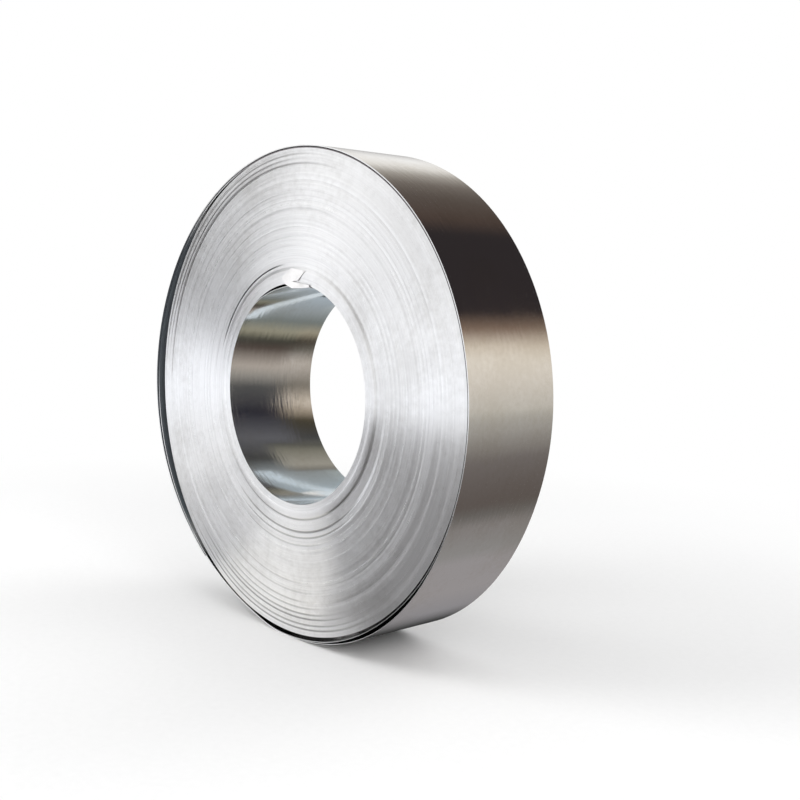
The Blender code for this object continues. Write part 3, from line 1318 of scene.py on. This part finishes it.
@dataclass
class Studio:
    """The pale floor, the white surround, the soft lamps, the reflected boards and the camera.

    The camera's distance, aside and above are measured from centre, in steps of unit.
    """

    centre: Vector = Vector((0.0075, -0.1275, 0.561))
    unit: float = 0.2562
    azimuth: float = math.radians(47.1)
    elevation: float = math.radians(6.46)
    roll: float = math.radians(2.1)
    distance: float = 10.230
    aside: float = 0.996
    above: float = 0.014
    lens: float = 51.25
    far_clip: float = 200.0
    white_light: float = 0.72
    floor_half: float = 40.0
    floor_fade: Span = (1.3, 2.6)
    floor_dark: Colour = (0.90, 0.90, 0.90)
    floor_pale: Colour = (0.94, 0.94, 0.94)
    floor_roughness: float = 0.9
    lamps: tuple[Lamp, ...] = (
        Lamp("key", (-2.2, -3.2, 3.4), 90.0),
        Lamp("fill", (3.6, -1.2, 2.6), 40.0),
        Lamp("rim", (1.0, 3.6, 3.4), 40.0),
    )
    sheets: tuple[Sheet, ...] = (
        Sheet.bent("back_wall", (
            (-14.0, (0.52, 0.49, 0.43)), (-2.0, (0.60, 0.56, 0.50)), (10.0, (0.76, 0.70, 0.62)),
            (18.0, (0.82, 0.75, 0.65)), (24.0, (0.70, 0.61, 0.50)), (32.0, (0.22, 0.15, 0.11)),
            (40.0, (0.030, 0.024, 0.025)), (81.0, (0.030, 0.025, 0.026)),
            (90.0, (0.078, 0.055, 0.045)), (106.0, (0.11, 0.090, 0.078)),
            (116.0, (0.18, 0.155, 0.135)), (125.0, (0.38, 0.35, 0.31)), (134.0, (0.84, 0.81, 0.76)),
            (145.0, (0.96, 0.95, 0.93)), (156.0, (0.66, 0.65, 0.64)), (172.0, (0.20, 0.20, 0.20)),
            (194.0, (0.08, 0.08, 0.08))), ROOM_RADIUS, reach=(-1.0, 12.0), centre=ROOM_AXIS),
        Sheet.bent("front_wall", (
            (44.0, (0.80, 0.78, 0.74)), (56.0, (0.52, 0.49, 0.44)), (68.0, (0.10, 0.085, 0.075)),
            (84.0, (0.030, 0.025, 0.026)), (100.0, (0.10, 0.085, 0.075)),
            (118.0, (0.60, 0.57, 0.52))), ROOM_RADIUS, reach=(-12.0, -1.5), centre=ROOM_AXIS),
        Sheet.bent("bore_glow", (
            (-165.0, (0.42, 0.48, 0.53)), (-120.0, (0.30, 0.33, 0.34)),
            (-104.0, (0.18, 0.20, 0.19)), (-87.0, (0.33, 0.31, 0.23)), (-74.0, (0.05, 0.05, 0.04)),
            (-62.0, (0.08, 0.06, 0.05)), (-37.0, (0.45, 0.40, 0.35)), (-25.0, (0.31, 0.29, 0.26)),
            (-10.0, (0.08, 0.08, 0.08)), (24.0, (0.02, 0.02, 0.03)), (60.0, (0.12, 0.12, 0.13)),
            (92.0, (0.05, 0.05, 0.05)), (122.0, (0.30, 0.33, 0.34)), (165.0, (0.38, 0.45, 0.50))),
            BORE_BOARD_RADIUS, reach=(0.33, 0.60), centre=BORE_AXIS, turn_deg=(-0.3, 7.8)),
        Sheet.bent("far_bore_glow", (
            (-165.0, (0.60, 0.66, 0.70)), (-104.0, (0.18, 0.20, 0.19)),
            (-89.0, (0.38, 0.34, 0.25)), (-76.0, (0.05, 0.04, 0.03)), (-64.0, (0.13, 0.12, 0.10)),
            (-45.0, (0.55, 0.50, 0.45)), (-14.0, (0.20, 0.18, 0.15)), (9.0, (0.64, 0.56, 0.47)),
            (22.0, (0.36, 0.30, 0.23)), (34.0, (0.06, 0.05, 0.03)), (60.0, (0.06, 0.06, 0.06)),
            (92.0, (0.24, 0.23, 0.19)), (118.0, (0.36, 0.40, 0.40)), (165.0, (0.44, 0.52, 0.56))),
            BORE_BOARD_RADIUS, reach=(0.60, 1.04), centre=BORE_AXIS, turn_deg=(7.8, 21.0)),
        Sheet.bent("bore_card", (
            (72.0, (0.08, 0.08, 0.07)), (84.0, (0.22, 0.21, 0.17)), (108.0, (0.36, 0.34, 0.29)),
            (120.0, (0.16, 0.15, 0.13))),
            BORE_CARD_RADIUS, reach=(0.47, 0.80), centre=BORE_AXIS, turn_deg=(0.0, 14.0)),
        Sheet.streak("upper_streak", (-104.0, 0.325), (-188.0, 0.450), width=0.070,
                     radius=STREAK_RADIUS, centre=BORE_AXIS, colour=(0.72, 0.79, 0.84)),
        Sheet.streak("lower_streak", (114.0, 0.365), (188.0, 0.495), width=0.055,
                     radius=STREAK_RADIUS, centre=BORE_AXIS, colour=(0.64, 0.73, 0.80)),
        Sheet.flat("back_ground", (
            (-3.0, (0.04, 0.04, 0.04)), (-0.50, (0.02, 0.02, 0.02)), (0.18, (0.012, 0.012, 0.012)),
            (0.23, (0.08, 0.08, 0.08)), (0.30, (0.28, 0.27, 0.28)), (0.40, (0.33, 0.31, 0.31)),
            (0.53, (0.33, 0.31, 0.31)), (0.58, (0.28, 0.27, 0.26)), (0.72, (0.25, 0.23, 0.22)),
            (0.79, (0.15, 0.14, 0.13)), (0.86, (0.12, 0.10, 0.09)), (1.44, (0.17, 0.15, 0.14)),
            (1.70, (0.24, 0.22, 0.20)), (2.50, (0.36, 0.34, 0.31)), (6.0, (0.54, 0.51, 0.45))),
            near=-0.10, far=9.0, height=0.004),
        Sheet.board("front_ground", ((-0.05, -0.20), (1.0, -0.20)), ((-3.1, -3.2), (1.0, -3.2)),
                    height=0.004, colour=(0.135, 0.13, 0.13)),
        Sheet.board("left_ground", ((-1.5, -0.18), (-0.50, -0.18)), ((-1.5, -0.60), (-0.75, -0.60)),
                    height=0.005, colour=(0.30, 0.30, 0.31)),
        Sheet.board("near_ground", ((-0.45, -0.17), (0.05, -0.17)), ((-0.65, -0.42), (-0.10, -0.42)),
                    height=0.006, colour=(1.05, 1.03, 0.98)),
        Sheet.screen("left_screen", 182.0, 208.0, distance=4.0, low=0.60, high=3.0,
                     colour=(0.06, 0.06, 0.065)),
        Sheet.screen("horizon", 182.0, 262.0, distance=3.9, low=0.0, high=0.56,
                     colour=(1.34, 1.37, 1.43)),
        Sheet.screen("tall_softbox", 212.0, 226.0, distance=4.1, low=0.9, high=4.5,
                     colour=(1.25, 1.25, 1.25)),
    )

    def camera(self) -> None:
        """Places the camera at the photograph's angle."""
        level = math.cos(self.elevation)
        back = Vector((math.sin(self.azimuth) * level, -math.cos(self.azimuth) * level,
                       math.sin(self.elevation)))
        right = Vector((math.cos(self.azimuth), math.sin(self.azimuth), 0.0))
        up = back.cross(right)
        offset = back * self.distance + right * self.aside + up * self.above
        camera = bpy.data.objects.new("camera", bpy.data.cameras.new("camera"))
        turn = Matrix((right, up, back)).transposed()
        camera.matrix_world = Matrix.Translation(self.centre + offset * self.unit) @ (
            turn @ Matrix.Rotation(self.roll, 3, "Z")).to_4x4()
        camera.data.lens = self.lens
        camera.data.clip_end = self.far_clip
        bpy.context.scene.collection.objects.link(camera)
        bpy.context.scene.camera = camera

    def surround(self) -> None:
        """Makes the white world."""
        world = bpy.data.worlds.new("surround")
        world.use_nodes = True
        bpy.context.scene.world = world
        wiring = Wiring(world.node_tree)
        background = world.node_tree.nodes["Background"]
        background.inputs["Color"].default_value = (1.0, 1.0, 1.0, 1.0)
        wiring.feed(background.inputs["Strength"], self._white(wiring))

    def _white(self, wiring: Wiring) -> bpy.types.NodeSocket:
        """The strength of the white.

        It is 1 for the rays that show it as it is, to the camera, in gloss and through glass, and
        less as light on the object.

        Args:
            wiring: The wiring of the world or material.

        Returns:
            The strength.
        """
        path = wiring.add("LightPath")
        seen = wiring.math("MAXIMUM", path.outputs["Is Camera Ray"],
                           path.outputs["Is Glossy Ray"])
        seen = wiring.math("MAXIMUM", seen, path.outputs["Is Transmission Ray"])
        return wiring.math("MULTIPLY_ADD", seen, 1.0 - self.white_light, self.white_light)

    def floor(self) -> None:
        """Lays the pale floor, which fades into the white surround."""
        mesh = bpy.data.meshes.new("floor")
        half = self.floor_half
        mesh.from_pydata([(-half, -half, 0), (half, -half, 0), (half, half, 0), (-half, half, 0)],
                         [], [(0, 1, 2, 3)])
        mesh.materials.append(self._floor_finish())
        floor = bpy.data.objects.new("floor", mesh)
        bpy.context.scene.collection.objects.link(floor)

    def _floor_finish(self) -> bpy.types.Material:
        """The floor's material.

        Returns:
            The material.
        """
        material, wiring, shader = new_material("floor")
        shader.inputs["Roughness"].default_value = self.floor_roughness
        shader.inputs["Specular IOR Level"].default_value = 0.0
        position = wiring.add("TexCoord").outputs["Object"]
        grain = wiring.noise(position, scale=60.0, detail=4.0)
        wiring.feed(shader.inputs["Base Color"],
                    wiring.blend(grain, self.floor_dark, self.floor_pale))
        away = wiring.ease(wiring.length(position), *self.floor_fade)
        glow = wiring.add("Emission")
        wiring.feed(glow.inputs["Strength"], self._white(wiring))
        fade = wiring.add("MixShader")
        wiring.feed(fade.inputs[0], away)
        wiring.feed(fade.inputs[1], shader.outputs[0])
        wiring.feed(fade.inputs[2], glow.outputs[0])
        out = material.node_tree.nodes["Material Output"]
        wiring.feed(out.inputs["Surface"], fade.outputs[0])
        return material

    def set_up(self) -> None:
        """Builds the whole studio."""
        scene = bpy.context.scene
        scene.view_settings.view_transform = "Standard"
        self.camera()
        self.surround()
        self.floor()
        for lamp in self.lamps:
            lamp.hang()
        for sheet in self.sheets:
            sheet.hang()


def main() -> None:
    """Builds the scene in order."""
    logging.basicConfig(level=logging.INFO, format="%(message)s")
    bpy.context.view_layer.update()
    studio = Studio()
    studio.set_up()
    LOG.info("studio: %d boards, %d lamps", len(studio.sheets), len(studio.lamps))
    groups = CoilGroups()
    maker = WoundCoil()
    coil = maker.build()
    maker.dress(coil, groups)
    LOG.info("coil: %d faces, lap %.4f mm", len(coil.data.polygons), maker.lap * 1000.0)
    tape = TapePatch().dress(groups)
    LOG.info("tape: %d faces", len(tape.data.polygons))
    bpy.context.view_layer.update()


if __name__ == "__main__":
    main()
